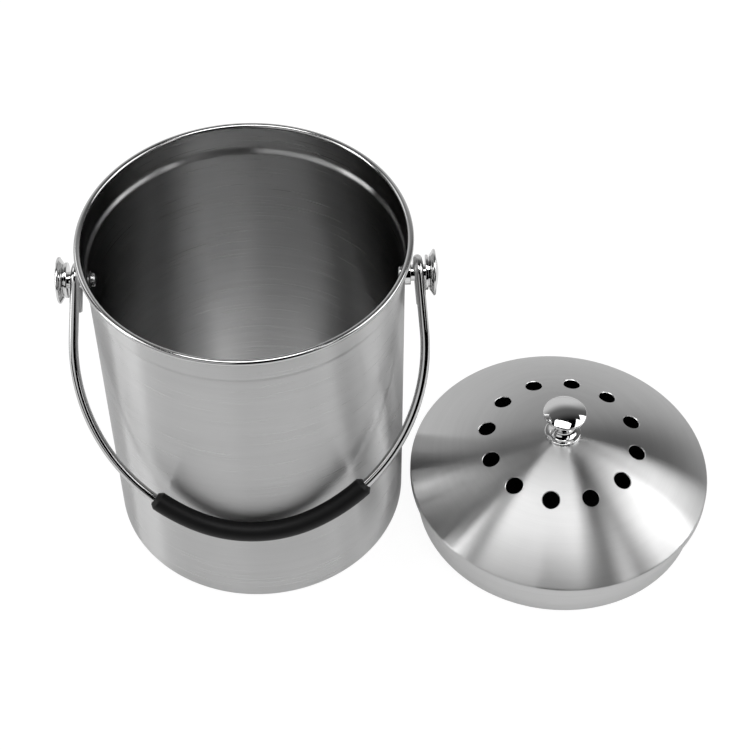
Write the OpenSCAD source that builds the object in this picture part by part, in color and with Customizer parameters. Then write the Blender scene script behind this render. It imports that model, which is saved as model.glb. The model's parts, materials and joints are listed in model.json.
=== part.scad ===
// Compost caddy: drawn steel pail with a wire bail and a vented, filtered lift-off lid.
// Millimetres, +Z up, origin at the centre of the pail's underside, +X along the bail's pivot axis.
// The lid stands on its own skirt beside the pail, towards +X.

/* [Pail] */
// Outside diameter of the straight wall
pail_d = 180; // [150:1:220]
// Height over the rim bead
pail_h = 224; // [180:1:280]
// Thickness of the pail's and the lid's sheet
sheet_t = 0.7; // [0.5:0.1:1.2]
// Outside radius of the bottom corner
corner_r = 3; // [2:0.5:8]
// How far the collar is wider than the wall, on each side
collar_step = 1.6; // [1:0.1:3]
// Height of the straight collar, from the shoulder to the bead's centre
collar_h = 14; // [8:1:30]
// Height of the sloping shoulder under the collar
shoulder_h = 6; // [3:0.5:12]
// Diameter of the rolled rim bead
bead_d = 3.8; // [3:0.1:6]

/* [Pivots] */
// Distance from the rim's top down to the pivot axis
pivot_drop = 33; // [30:0.5:45]
// Thread diameter of the pivot screws
screw_d = 3.5; // [3:0.5:5]
// Diameter of a pivot screw's pan head
screw_head_d = 8; // [6:0.5:10]
// Height of a pivot screw's pan head
screw_head_h = 2.4; // [2:0.1:4]
// Diameter of the seal washer inside the wall
seal_d = 9.6; // [9:0.2:12]
// Thickness of the seal washer
seal_t = 0.8; // [0.5:0.1:1.5]
// Diameter of the saddle spacer outside the wall
spacer_d = 14; // [12:0.5:18]
// Thickness of the saddle spacer at the wall's crown
spacer_t = 3.2; // [2:0.1:6]
// Outside diameter of the bush that the bail turns on
bush_d = 9.4; // [7:0.2:12]
// Diameter of the pivot cap's domed tier
cap_d = 26.8; // [22:0.2:32]
// Diameter of the pivot cap's inner tier
cap_flange_d = 20.4; // [18:0.2:21]
// Thickness of the pivot cap's inner tier
cap_flange_t = 1.6; // [1:0.1:3]
// Distance from the inner tier's face to the top of the cap's dome
cap_h = 7.7; // [7:0.1:10]

/* [Bail] */
// Wire diameter
wire_d = 5.5; // [4:0.5:6]
// Gap between an eye and its bush
eye_gap = 0.3; // [0.2:0.1:0.6]
// Room for the eye to slide along its bush
side_play = 2.8; // [2.8:0.1:5]
// How far the bail has slid along its bushes
bail_shift = 0.5; // [0:0.1:0.5]
// Length of the straight leg below an eye
leg_l = 32; // [26:0.5:36]
// Length of the eye's free end
tail_l = 20; // [15:0.5:22]
// Outward lean of the legs, degrees
leg_lean = 4.5; // [2:0.5:4.5]
// Radius of the bail's middle bend
mid_bend_r = 84; // [78:1:88]
// Half the angle of the middle bend, degrees
mid_bend_a = 24; // [20:1:27]
// Gap between the grip and the pail when the bail hangs
rest_gap = 0.3; // [0.2:0.1:1]

/* [Grip] */
// Diameter of the grip
grip_d = 11.5; // [9:0.5:16]
// Length of the grip along the wire
grip_l = 135; // [96:1:140]
// How far the grip has slid along the wire
grip_slide = 4.5; // [0:0.5:5]
// Length of the grip's end chamfers
grip_chamfer_l = 2.4; // [1:0.1:3]
// Depth of the grip's end chamfers
grip_chamfer_d = 1.9; // [1:0.1:2]

/* [Lid] */
// Gap between the skirt and the pail's inner wall
skirt_gap = 0.6; // [0.3:0.1:1.5]
// Depth of the skirt below the hem
skirt_h = 22.7; // [16:0.1:30]
// Height of the hem's vertical face
hem_h = 6.1; // [4:0.1:10]
// How far the hem's face lies inside the bead's outer edge
hem_inset = 0.9; // [0:0.1:1.5]
// Radius between the dome and the hem
hem_round = 2; // [1.5:0.1:4]
// Rise of the dome above the hem's upper edge
dome_rise = 35.2; // [25:0.1:45]
// Gap between the hem and the pail's wall where the lid stands
lid_gap = 5.6; // [5:0.1:60]
// Where the lid stands, across the pivot axis
lid_y = -17.5; // [-40:0.5:40]

/* [Vents] */
// Number of vent holes
vent_n = 12; // [6:1:16]
// Diameter of a vent hole
vent_d = 10; // [4:0.1:12]
// Radius of the ring of vent holes
vent_ring_r = 47.1; // [38:0.1:60]
// Turn of the first vent from the pivot axis, degrees
vent_turn = 16.6; // [0:0.1:30]

/* [Knob] */
// Diameter of the knob's base flange
knob_base_d = 22.6; // [18:0.2:30]
// Thickness of the base flange
knob_base_t = 1.8; // [1.2:0.1:3]
// Diameter of the knob's waist
knob_waist_d = 10.6; // [9:0.2:13]
// Diameter of the collar under the cap
knob_collar_d = 13.7; // [13.2:0.1:16]
// Height of the collar's top above the lid
knob_neck_h = 13.8; // [12:0.1:20]
// Diameter of the knob's cap
knob_cap_d = 26.8; // [22:0.2:34]
// Height of the cap from its collar to its widest ring
knob_under_h = 6.3; // [4:0.1:9]
// Rise of the cap's dome above its widest ring
knob_dome_h = 3.2; // [2:0.1:6]
// Thread diameter of the knob's screw
knob_screw_d = 5; // [4:0.5:6]
// Diameter of the knob screw's head
knob_head_d = 9.5; // [8:0.5:12]
// Height of the knob screw's head
knob_head_h = 3.7; // [2.5:0.1:5]
// Diameter of the washer under the dome
knob_washer_d = 15; // [13:0.5:22]
// Thickness of that washer
knob_washer_t = 1; // [0.6:0.1:2]

/* [Filter] */
// Thickness of the charcoal filter
filter_t = 10; // [5:0.5:12]
// Gap between the retainer's ribs and the skirt
rib_gap = 0.1; // [0.05:0.05:0.3]
// How far the ribs stand out of the retainer's ring
rib_h = 0.4; // [0.2:0.1:1]
// Number of ribs around the retainer
rib_n = 12; // [6:1:18]
// Height of the retainer's ring
retainer_h = 12; // [8:0.5:12]
// Wall of the retainer's ring
retainer_wall = 1.6; // [1.2:0.1:3]
// Number of the retainer's spokes
spoke_n = 6; // [3:1:9]
// Width of a spoke
spoke_w = 5; // [3:0.5:10]
// Thickness of the spokes
spoke_t = 2; // [1.5:0.1:4]
// Outside diameter of the retainer's hub ring
hub_d = 44; // [30:1:80]

/* [Hidden] */
$fn = 96;

// Small allowances
over = 1;              // how far a cut runs past a face
screw_fit = 0.15;      // between a screw's shank and its clearance hole, on the radius
thread_fit = 0.05;     // between a thread and its tapped hole, on the radius
grip_fit = 0.05;       // between the grip's bore and the wire, on the radius
join_swell = 0.06;     // how much fatter the side bends are drawn, so that the bends join
join_lap = 1;          // how far the bail's other pieces run on into the side bends
filter_gap = 0.3;      // between the filter's stack and the dome
seam_gap = 0.05;       // between the hem's folded edge and the skirt
fine_fn = 360;         // sides of a large round face that a small piece is fitted to

// Pail
pail_r = pail_d / 2;
pail_in_r = pail_r - sheet_t;
collar_r = pail_r + collar_step;
collar_in_r = collar_r - sheet_t;
bead_r = bead_d / 2;
bead_ring_r = collar_in_r + bead_r;
bead_z = pail_h - bead_r;
shoulder_top_z = bead_z - collar_h;
shoulder_low_z = shoulder_top_z - shoulder_h;
shoulder_steps = 8;
curl_open_a = 30;      // part of the bead's turn that stays open next to the collar

// Pivots
pivot_z = pail_h - pivot_drop;
screw_r = screw_d / 2;
hole_r = screw_r + screw_fit;
head_x = pail_in_r - seal_t;
spacer_x = pail_r + spacer_t;
bush_r = bush_d / 2;
bush_l = wire_d + side_play;
cap_x = spacer_x + bush_l;
cap_r = cap_d / 2;
cap_groove_t = 0.7;    // groove between the cap's two tiers
cap_groove_d = 1.4;    // its depth below the inner tier
cap_ring_x = cap_h * 0.65;
cap_edge_r = 0.9;
tap_l = cap_ring_x;    // depth of the cap's tapped hole
tap_end = 0.5;         // space left past the screw's end

// Bail, drawn hanging straight down from the pivot axis
wire_r = wire_d / 2;
eye_r = bush_r + eye_gap + wire_r;
eye_x = spacer_x + bush_l / 2;
leg_end_x = eye_x + leg_l * sin(leg_lean);
leg_end_z = -leg_l * cos(leg_lean);
side_bend_r = (leg_end_x - mid_bend_r * sin(mid_bend_a)) / (cos(leg_lean) - sin(mid_bend_a));
side_bend_x = leg_end_x - side_bend_r * cos(leg_lean);
side_bend_z = leg_end_z - side_bend_r * sin(leg_lean);
mid_bend_z = side_bend_z - (side_bend_r - mid_bend_r) * cos(mid_bend_a);
bail_reach = mid_bend_r - mid_bend_z;
grip_r = grip_d / 2;
// Swing from straight down to where the grip meets the wall
rest_a = asin((pail_r + grip_r + rest_gap) / sqrt(bail_reach * bail_reach + eye_r * eye_r))
    - atan(eye_r / bail_reach);

// Lid, drawn around its own axis with the skirt's edge at z = 0
skirt_r = pail_in_r - skirt_gap;
skirt_in_r = skirt_r - sheet_t;
hem_r = bead_ring_r + bead_r - hem_inset;
lid_x = sqrt(pow(pail_r + lid_gap + hem_r, 2) - lid_y * lid_y);
hem_z = skirt_h;
hem_top_z = hem_z + hem_h;
dome_top_z = hem_top_z + dome_rise;
dome_r = (hem_r * hem_r + dome_rise * dome_rise) / (2 * dome_rise);
dome_z = dome_top_z - dome_r;
round_z = dome_z + sqrt(pow(dome_r - hem_round, 2) - pow(hem_r - hem_round, 2));
dome_in_r = dome_r - sheet_t;
knob_hole_r = knob_screw_d / 2 + screw_fit;
knob_cap_r = knob_cap_d / 2;
knob_base_r = knob_base_d / 2;
knob_base_z = dome_z + sqrt(dome_r * dome_r - knob_base_r * knob_base_r);
knob_edge_r = 1;
knob_steps = 10;
washer_r = knob_washer_d / 2;
washer_z = dome_z + sqrt(dome_in_r * dome_in_r - washer_r * washer_r) - knob_washer_t;
knob_screw_l = knob_neck_h * 0.8;

// Filter
retainer_r = skirt_in_r - rib_gap - rib_h;
retainer_in_r = retainer_r - retainer_wall;
filter_r = retainer_r - 2;
filter_top_z = dome_z + sqrt(pow(dome_in_r - filter_gap, 2) - filter_r * filter_r);
filter_z = filter_top_z - filter_t;
retainer_z = filter_z - retainer_h;
hub_r = hub_d / 2;
hub_wall = 4;
rib_w = 2;

// A point on a circle
function on_circle(r, a) = [r * cos(a), r * sin(a)];

// An eased step from 0 to 1
function ease(t) = t * t * (3 - 2 * t);

// ---------- pail ----------

// The pail's outside, or with inset = sheet_t its inside, up to the bead's centre
module pail_outline(inset) {
    corner = corner_r - inset;
    translate([0, inset])
        square([pail_r - inset - corner, corner]);
    translate([pail_r - corner_r, corner_r])
        circle(corner);
    polygon(concat(
        [[0, corner_r], [pail_r - inset, corner_r]],
        [for (i = [0:shoulder_steps])
            [pail_r - inset + collar_step * ease(i / shoulder_steps),
             shoulder_low_z + shoulder_h * i / shoulder_steps]],
        [[collar_r - inset, bead_z], [0, bead_z]]
    ));
}

// The rim's rolled curl, open next to the collar
module rim_curl() {
    translate([bead_ring_r, bead_z])
        difference() {
            circle(bead_r);
            circle(bead_r - sheet_t);
            polygon([[0, 0], on_circle(2 * bead_r, 180.5), on_circle(2 * bead_r, 180 + curl_open_a)]);
        }
}

module pail_body() {
    color("silver")
        difference() {
            rotate_extrude() {
                difference() {
                    pail_outline(0);
                    pail_outline(sheet_t);
                }
                rim_curl();
            }
            translate([-collar_r, 0, pivot_z])
                rotate([0, 90, 0])
                    cylinder(r = hole_r, h = 2 * collar_r);
        }
}

// ---------- pivots, drawn along +X from the pail's axis ----------

// Puts a pivot piece on its side of the pail: side is 1 for right, -1 for left
module on_side(side) {
    translate([0, 0, pivot_z])
        mirror([side < 0 ? 1 : 0, 0, 0])
            children();
}

// A rod or disc along X from x0 to x1
module rod(r, x0, x1) {
    translate([x0, 0, 0])
        rotate([0, 90, 0])
            cylinder(r = r, h = x1 - x0);
}

// A shape turned around X, from an outline of radius and distance
module turned_along_x() {
    rotate([0, 90, 0])
        rotate_extrude()
            children();
}

module pan_head(r, h) {
    round_r = h * 0.45;
    square([r - round_r, h]);
    square([r, h - round_r]);
    translate([r - round_r, h - round_r])
        circle(round_r);
}

module cross_recess(r, h) {
    arm = r * 1.1;
    slot = r * 0.22;
    for (a = [0, 90])
        rotate(a)
            translate([-arm / 2, -slot / 2, 0])
                cube([arm, slot, h]);
}

module pivot_screw(side) {
    recess_h = screw_head_h * 0.5;
    color("gainsboro")
        on_side(side) {
            rod(screw_r, head_x, cap_x + tap_l - tap_end);
            difference() {
                translate([head_x, 0, 0])
                    mirror([1, 0, 0])
                        turned_along_x()
                            pan_head(screw_head_d / 2, screw_head_h);
                translate([head_x - screw_head_h - over, 0, 0])
                    rotate([0, 90, 0])
                        cross_recess(screw_head_d / 2, recess_h + over);
            }
        }
}

module seal_washer(side) {
    color("dimgray")
        on_side(side)
            difference() {
                intersection() {
                    rod(seal_d / 2, head_x, pail_r);
                    cylinder(r = pail_in_r, h = seal_d + over, center = true, $fn = fine_fn);
                }
                rod(hole_r, head_x - over, pail_r + over);
            }
}

module saddle_spacer(side) {
    color("gainsboro")
        on_side(side)
            difference() {
                rod(spacer_d / 2, pail_in_r, spacer_x);
                cylinder(r = pail_r, h = spacer_d + over, center = true, $fn = fine_fn);
                rod(hole_r, pail_in_r - over, spacer_x + over);
            }
}

module pivot_bush(side) {
    color("gainsboro")
        on_side(side)
            difference() {
                rod(bush_r, spacer_x, cap_x);
                rod(hole_r, spacer_x - over, cap_x + over);
            }
}

// Part of a disc that rises from a ring of radius r to a dome of height h
module dome_outline(r, h) {
    sphere_r = (r * r + h * h) / (2 * h);
    intersection() {
        translate([0, h - sphere_r])
            circle(sphere_r);
        square([r, h]);
    }
}

module pivot_cap(side) {
    tier_r = cap_flange_d / 2;
    edge_r = cap_r - cap_edge_r;
    color("gainsboro")
        on_side(side)
            difference() {
                translate([cap_x, 0, 0])
                    turned_along_x() {
                        square([tier_r, cap_flange_t]);
                        square([tier_r - cap_groove_d, cap_ring_x]);
                        polygon([
                            [0, cap_flange_t + cap_groove_t],
                            [tier_r - 0.4, cap_flange_t + cap_groove_t],
                            [cap_r - 0.25, cap_ring_x - cap_edge_r * 0.7],
                            [edge_r, cap_ring_x],
                            [0, cap_ring_x]
                        ]);
                        translate([edge_r, cap_ring_x])
                            circle(cap_edge_r);
                        translate([0, cap_ring_x])
                            dome_outline(edge_r + cap_edge_r * 0.4, cap_h - cap_ring_x);
                    }
                rod(screw_r + thread_fit, cap_x - over, cap_x + tap_l);
            }
}

module left_pivot_screw() pivot_screw(-1);
module right_pivot_screw() pivot_screw(1);
module left_seal_washer() seal_washer(-1);
module right_seal_washer() seal_washer(1);
module left_saddle_spacer() saddle_spacer(-1);
module right_saddle_spacer() saddle_spacer(1);
module left_pivot_bush() pivot_bush(-1);
module right_pivot_bush() pivot_bush(1);
module left_pivot_cap() pivot_cap(-1);
module right_pivot_cap() pivot_cap(1);

// ---------- bail ----------

// Swings what hangs straight down forward to its rest on the pail's front
module hung() {
    translate([bail_shift, 0, pivot_z])
        rotate([-rest_a, 0, 0])
            children();
}

// Turns a piece drawn flat in X and Y upright, into the plane of the eyes' front legs
module in_bail_plane(x, z) {
    translate([x, -eye_r, z])
        rotate([90, 0, 0])
            children();
}

// A bent rod: radius r on a bend of radius bend_r, from angle a0 to a1
module bend(r, bend_r, a0, a1) {
    rotate([0, 0, a0])
        rotate_extrude(angle = a1 - a0)
            translate([bend_r, 0])
                circle(r);
}

// The bail's middle bend, with a little run-on at both ends
module mid_bend(r) {
    lap_a = asin(join_lap / mid_bend_r);
    in_bail_plane(0, mid_bend_z)
        bend(r, mid_bend_r, -90 - mid_bend_a - lap_a, -90 + mid_bend_a + lap_a);
}

// The right side bend, from its junction with the middle bend up to angle a
module side_bend(r, a) {
    in_bail_plane(side_bend_x, side_bend_z)
        bend(r + join_swell, side_bend_r, mid_bend_a - 90, a);
}

// The leg, the hairpin eye and the free end on the right
module bail_end() {
    translate([eye_x, 0, 0])
        rotate([0, -leg_lean, 0]) {
            rotate([0, 90, 0])
                bend(wire_r, eye_r, 90, 270);
            translate([0, -eye_r, -leg_l - join_lap])
                cylinder(r = wire_r, h = leg_l + join_lap);
            translate([0, eye_r, -tail_l])
                cylinder(r = wire_r, h = tail_l);
        }
}

// The whole middle and both sides as bent rod
module bail_run(r) {
    mid_bend(r);
    for (side = [0, 1])
        mirror([side, 0, 0])
            side_bend(r, leg_lean);
}

module bail_wire() {
    color("silver")
        hung() {
            bail_run(wire_r);
            bail_end();
            mirror([1, 0, 0])
                bail_end();
        }
}

// What the grip's end chamfer takes away, with the grip's end face at z = 0
module grip_chamfer() {
    k = 0.5;
    rotate_extrude()
        polygon([
            [grip_r - (1 + k) * grip_chamfer_d, k * grip_chamfer_l],
            [grip_r + k * grip_chamfer_d, -(1 + k) * grip_chamfer_l],
            [grip_r + k * grip_chamfer_d, k * grip_chamfer_l]
        ]);
}

// The angle on the right side bend that a length l of wire from the bail's middle reaches
function side_a(l) = mid_bend_a - 90 + (l - mid_bend_r * mid_bend_a * PI / 180) / side_bend_r * 180 / PI;

module bail_grip() {
    ends = [grip_l / 2 + grip_slide, grip_l / 2 - grip_slide];
    color("#181818")
        hung()
            difference() {
                union() {
                    mid_bend(grip_r);
                    for (i = [0, 1])
                        mirror([i, 0, 0])
                            side_bend(grip_r, side_a(ends[i]));
                }
                bail_run(wire_r + grip_fit);
                for (i = [0, 1])
                    mirror([i, 0, 0])
                        in_bail_plane(side_bend_x, side_bend_z)
                            rotate([0, 0, side_a(ends[i])])
                                translate([side_bend_r, 0, 0])
                                    rotate([-90, 0, 0])
                                        grip_chamfer();
            }
}

// ---------- lid, drawn around its own axis ----------

module on_lid() {
    translate([lid_x, lid_y, 0])
        children();
}

// The cover's outside, or with inset = sheet_t its inside
module cover_outline(inset) {
    side_r = hem_r - hem_round;
    tilt = atan2(side_r, round_z - dome_z);
    far = 2 * dome_r;
    intersection() {
        translate([0, dome_z])
            circle(dome_r - inset, $fn = fine_fn);
        translate([0, dome_z])
            polygon([[0, 0], [far * sin(tilt), far * cos(tilt)], [0, far]]);
        translate([0, hem_z])
            square([far, far]);
    }
    translate([side_r, round_z])
        circle(hem_round - inset);
    translate([0, hem_z + inset])
        square([hem_r - inset, round_z - hem_z - inset]);
    polygon([[0, hem_z + inset], [side_r, round_z], [0, round_z + dome_rise / 2]]);
}

module lid_cover() {
    color("silver")
        on_lid()
            difference() {
                rotate_extrude()
                    difference() {
                        cover_outline(0);
                        cover_outline(sheet_t);
                        translate([0, hem_z - over])
                            square([skirt_r + seam_gap, 2 * over + sheet_t]);
                    }
                for (i = [0:vent_n - 1])
                    rotate([0, 0, vent_turn + i * 360 / vent_n])
                        translate([vent_ring_r, 0, hem_z])
                            cylinder(r = vent_d / 2, h = dome_rise + hem_h + over);
                translate([0, 0, hem_z])
                    cylinder(r = knob_hole_r, h = dome_rise + hem_h + over);
            }
}

module lid_skirt() {
    flange_z = hem_z + sheet_t;
    color("silver")
        on_lid()
            rotate_extrude() {
                translate([skirt_in_r, 0])
                    square([sheet_t, flange_z + sheet_t]);
                translate([skirt_in_r, flange_z])
                    square([hem_r - sheet_t - seam_gap - skirt_in_r, sheet_t]);
            }
}

// The neck's radius at height z above the base flange: wide at both ends, narrow at the waist
function neck_r(z) =
    let (waist_z = knob_neck_h * 0.55, waist_r = knob_waist_d / 2)
    z < waist_z
        ? waist_r + (knob_base_r * 0.8 - waist_r) * pow((waist_z - z) / (waist_z - knob_base_t), 3)
        : waist_r + (knob_collar_d / 2 - waist_r) * pow((z - waist_z) / (knob_neck_h - waist_z), 2);

module lid_knob() {
    ring_z = knob_neck_h + knob_under_h;
    neck_step = (knob_neck_h - knob_base_t) / knob_steps;
    color("gainsboro")
        on_lid()
            difference() {
                translate([0, 0, knob_base_z])
                    rotate_extrude() {
                        translate([0, -over])
                            square([knob_base_r, knob_base_t / 2 + over]);
                        translate([0, knob_base_t / 2])
                            square([knob_base_r - knob_base_t / 2, knob_base_t / 2]);
                        translate([knob_base_r - knob_base_t / 2, knob_base_t / 2])
                            circle(knob_base_t / 2);
                        polygon(concat(
                            [[0, 0]],
                            [for (i = [0:knob_steps])
                                [neck_r(knob_base_t + i * neck_step), knob_base_t + i * neck_step]],
                            [[knob_cap_r - knob_edge_r * 0.4, ring_z - knob_edge_r * 0.8],
                             [knob_cap_r - knob_edge_r, ring_z],
                             [0, ring_z]]
                        ));
                        translate([knob_cap_r - knob_edge_r, ring_z])
                            circle(knob_edge_r);
                        translate([0, ring_z])
                            dome_outline(knob_cap_r - knob_edge_r * 0.6, knob_dome_h);
                    }
                translate([0, 0, dome_z])
                    sphere(r = dome_r, $fn = fine_fn);
                translate([0, 0, dome_top_z - sheet_t - over])
                    cylinder(r = knob_screw_d / 2 + thread_fit, h = knob_screw_l + tap_end + over);
            }
}

module knob_washer() {
    color("gainsboro")
        on_lid()
            difference() {
                intersection() {
                    translate([0, 0, washer_z])
                        cylinder(r = washer_r, h = dome_rise);
                    translate([0, 0, dome_z])
                        sphere(r = dome_in_r, $fn = fine_fn);
                }
                translate([0, 0, washer_z - over])
                    cylinder(r = knob_hole_r, h = dome_rise);
            }
}

module knob_screw() {
    color("gainsboro")
        on_lid()
            translate([0, 0, washer_z]) {
                cylinder(r = knob_screw_d / 2, h = dome_top_z - sheet_t - washer_z + knob_screw_l);
                mirror([0, 0, 1])
                    difference() {
                        rotate_extrude()
                            pan_head(knob_head_d / 2, knob_head_h);
                        translate([0, 0, knob_head_h * 0.5])
                            cross_recess(knob_head_d / 2, knob_head_h);
                    }
            }
}

// ---------- filter ----------

module charcoal_filter() {
    color("#202020")
        on_lid()
            translate([0, 0, filter_z])
                cylinder(r = filter_r, h = filter_t);
}

module filter_retainer() {
    spoke_z = filter_z - spoke_t;
    color("#2a2a2a")
        on_lid() {
            difference() {
                translate([0, 0, retainer_z])
                    cylinder(r = retainer_r, h = retainer_h);
                translate([0, 0, retainer_z - over])
                    cylinder(r = retainer_in_r, h = retainer_h + 2 * over);
            }
            difference() {
                translate([0, 0, spoke_z])
                    cylinder(r = hub_r, h = spoke_t);
                translate([0, 0, spoke_z - over])
                    cylinder(r = hub_r - hub_wall, h = spoke_t + 2 * over);
            }
            for (i = [0:spoke_n - 1])
                rotate([0, 0, i * 360 / spoke_n])
                    translate([hub_r - hub_wall / 2, -spoke_w / 2, spoke_z])
                        cube([retainer_in_r + retainer_wall / 2 - hub_r + hub_wall / 2, spoke_w, spoke_t]);
            for (i = [0:rib_n - 1])
                rotate([0, 0, i * 360 / rib_n])
                    translate([retainer_r - retainer_wall / 2, -rib_w / 2, retainer_z])
                        cube([retainer_wall / 2 + rib_h, rib_w, retainer_h]);
        }
}

pail_body();
left_pivot_screw();
left_seal_washer();
left_saddle_spacer();
left_pivot_bush();
left_pivot_cap();
right_pivot_screw();
right_seal_washer();
right_saddle_spacer();
right_pivot_bush();
right_pivot_cap();
bail_wire();
bail_grip();
lid_cover();
lid_skirt();
lid_knob();
knob_washer();
knob_screw();
charcoal_filter();
filter_retainer();
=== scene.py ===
# %% [markdown]
# # A compost caddy in brushed steel
#
# The caddy is a drawn steel pail with a rolled rim. A wire bail with a moulded grip hangs on its two
# polished pivots, and its vented dome lid stands beside it on its own skirt. Each piece is made here in
# the way that it is made in the works: sheet and turned parts are a circle that is extruded ring by
# ring, the wire is a bar end that is spun round its bends, and holes are cut with a Boolean.
#
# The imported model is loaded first. It is the fixed frame: every piece below is fitted to its boxes.

# %% The fixed frame
import json
import math

import bpy
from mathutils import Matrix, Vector

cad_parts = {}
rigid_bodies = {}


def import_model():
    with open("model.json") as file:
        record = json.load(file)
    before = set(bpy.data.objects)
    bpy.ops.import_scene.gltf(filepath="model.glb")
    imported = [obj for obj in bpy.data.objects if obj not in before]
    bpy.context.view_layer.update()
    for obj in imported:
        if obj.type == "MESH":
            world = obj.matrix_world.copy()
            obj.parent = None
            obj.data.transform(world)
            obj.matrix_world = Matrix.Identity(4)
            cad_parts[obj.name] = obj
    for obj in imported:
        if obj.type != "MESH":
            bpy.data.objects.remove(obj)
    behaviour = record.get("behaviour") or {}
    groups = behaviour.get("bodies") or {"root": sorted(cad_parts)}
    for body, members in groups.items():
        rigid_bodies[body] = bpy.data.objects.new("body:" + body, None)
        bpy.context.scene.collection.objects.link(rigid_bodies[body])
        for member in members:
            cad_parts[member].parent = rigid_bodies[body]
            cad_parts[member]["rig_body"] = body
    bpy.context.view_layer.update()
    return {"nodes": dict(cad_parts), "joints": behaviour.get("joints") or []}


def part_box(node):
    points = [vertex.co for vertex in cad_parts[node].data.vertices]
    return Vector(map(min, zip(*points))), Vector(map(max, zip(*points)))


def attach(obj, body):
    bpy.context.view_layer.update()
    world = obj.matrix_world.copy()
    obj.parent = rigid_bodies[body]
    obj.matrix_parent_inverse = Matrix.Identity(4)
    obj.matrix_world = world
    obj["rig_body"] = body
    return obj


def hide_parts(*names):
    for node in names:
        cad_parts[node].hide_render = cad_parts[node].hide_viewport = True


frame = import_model()

# %% [markdown]
# ## Camera
#
# The view looks down on the caddy from the front at about 49 degrees, with a short telephoto lens, so
# that the round rims stay round. Depth of field stays off.

# %% Camera
CAMERA_PLACE = (0.05088, -0.72036, 0.93941)
CAMERA_PITCH = 49.281
CAMERA_HEADING = 1.753
CAMERA_LENS = 87.217
SENSOR_W = 36

lens = bpy.data.cameras.new("camera")
lens.lens = CAMERA_LENS
lens.sensor_width = SENSOR_W
camera = bpy.data.objects.new("camera", lens)
camera.location = CAMERA_PLACE
camera.rotation_euler = (math.radians(90 - CAMERA_PITCH), 0, -math.radians(CAMERA_HEADING))
bpy.context.scene.collection.objects.link(camera)
bpy.context.scene.camera = camera
bpy.context.scene.view_settings.view_transform = "Standard"
print("camera:", camera.location, "lens", lens.lens)

# %% [markdown]
# ## Measures
#
# All sizes are in millimetres, and `MM` turns them to Blender's metres. The large ones are read from the
# frame's boxes, and the small ones, such as the sheet's gauge, are what the maker would write down.

# %% Measures
MM = 0.001


def box_mm(node):
    """A CAD node's lowest and highest corner in millimetres."""
    low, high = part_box(node)
    return low / MM, high / MM


pail_high = box_mm("pail_body")[1]
SHEET = 0.7
BEAD_R = 1.9
RIM_R = pail_high.x
PAIL_H = pail_high.z
COLLAR_R = RIM_R - 2 * BEAD_R + SHEET
COLLAR_H = 14
SHOULDER_H = 6
WALL_STEP = 1.6
WALL_R = COLLAR_R - WALL_STEP
CORNER_R = 3
BEAD_Z = PAIL_H - BEAD_R
SHOULDER_TOP = BEAD_Z - COLLAR_H
SHOULDER_LOW = SHOULDER_TOP - SHOULDER_H
PIVOT_Z = next(j for j in frame["joints"] if j["name"] == "bail_swing")["pos_m"][2] / MM
print(f"pail: wall {WALL_R:.2f}, collar {COLLAR_R:.2f}, rim {RIM_R:.2f}, height {PAIL_H:.2f}")

# %% [markdown]
# ## Making and finishing a piece
#
# Spun and drawn sheet, turned steel and moulded rings are all round, so one helper makes them: it adds a
# circle and extrudes its rim from point to point of an outline, as a lathe hand would draw it. An outline
# that comes back to its first point makes a closed wall, and a ring as small as `POLE` closes to a point.
#
# The frame's nodes stay selected after they are loaded, and an operator acts on all that is selected, so
# everything is deselected before a new piece is begun.

# %% Helpers for round shapes
POLE = 0.002
SIDES = 256


def deselect():
    bpy.ops.object.select_all(action="DESELECT")


def arc(centre, radius, start, end, steps):
    """Points round a centre, from one angle to another in degrees."""
    turns = [math.radians(start + (end - start) * i / steps) for i in range(steps + 1)]
    return [(centre[0] + radius * math.cos(a), centre[1] + radius * math.sin(a)) for a in turns]


def close_up():
    """In edit mode: merges what meets, turns the faces outwards and goes back to object mode."""
    bpy.ops.mesh.select_all(action="SELECT")
    bpy.ops.mesh.remove_doubles(threshold=3 * POLE * MM)
    bpy.ops.mesh.normals_make_consistent(inside=False)
    bpy.ops.object.mode_set(mode="OBJECT")


def turn(name, outline, sides=SIDES):
    """Extrudes a circle along an outline of (radius, height) points in millimetres."""
    deselect()
    radius, height = outline[0]
    bpy.ops.mesh.primitive_circle_add(vertices=sides, radius=radius * MM, location=(0, 0, height * MM))
    piece = bpy.context.object
    piece.name = name
    bpy.ops.object.transform_apply()
    bpy.ops.object.mode_set(mode="EDIT")
    bpy.ops.mesh.select_all(action="SELECT")
    for next_radius, next_height in outline[1:]:
        rise = (next_height - height) * MM
        bpy.ops.mesh.extrude_region_move(TRANSFORM_OT_translate={"value": (0, 0, rise)})
        share = next_radius / radius
        bpy.ops.transform.resize(value=(share, share, 1), center_override=(0, 0, 0))
        radius, height = next_radius, next_height
    close_up()
    return piece


print("round pieces have", SIDES, "sides, or fewer where they are small")

# %% [markdown]
# The next helpers place, copy, join and cut pieces. Each move is applied to the mesh, so that a finished
# piece sits at the origin, unturned and unscaled, and a pattern stays where it belongs. What repeats is
# modelled once and copied, each copy with its own mesh.
#
# A finished piece is smooth up to an angle. Its weighted normals keep broad walls flat next to small
# rounds. Then it takes the CAD node's place, rides on the node's body, and is compared with its box.

# %% Helpers for placing, cutting and finishing
SMOOTH_ANGLE = 32


def make_active(piece):
    """Selects one piece and no other."""
    deselect()
    piece.select_set(True)
    bpy.context.view_layer.objects.active = piece


def place(piece, at=(0, 0, 0), turned=(0, 0, 0)):
    """Moves a piece, in millimetres and degrees, and applies it to the mesh."""
    make_active(piece)
    piece.location = Vector(at) * MM
    piece.rotation_euler = [math.radians(a) for a in turned]
    bpy.ops.object.transform_apply()
    return piece


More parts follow.
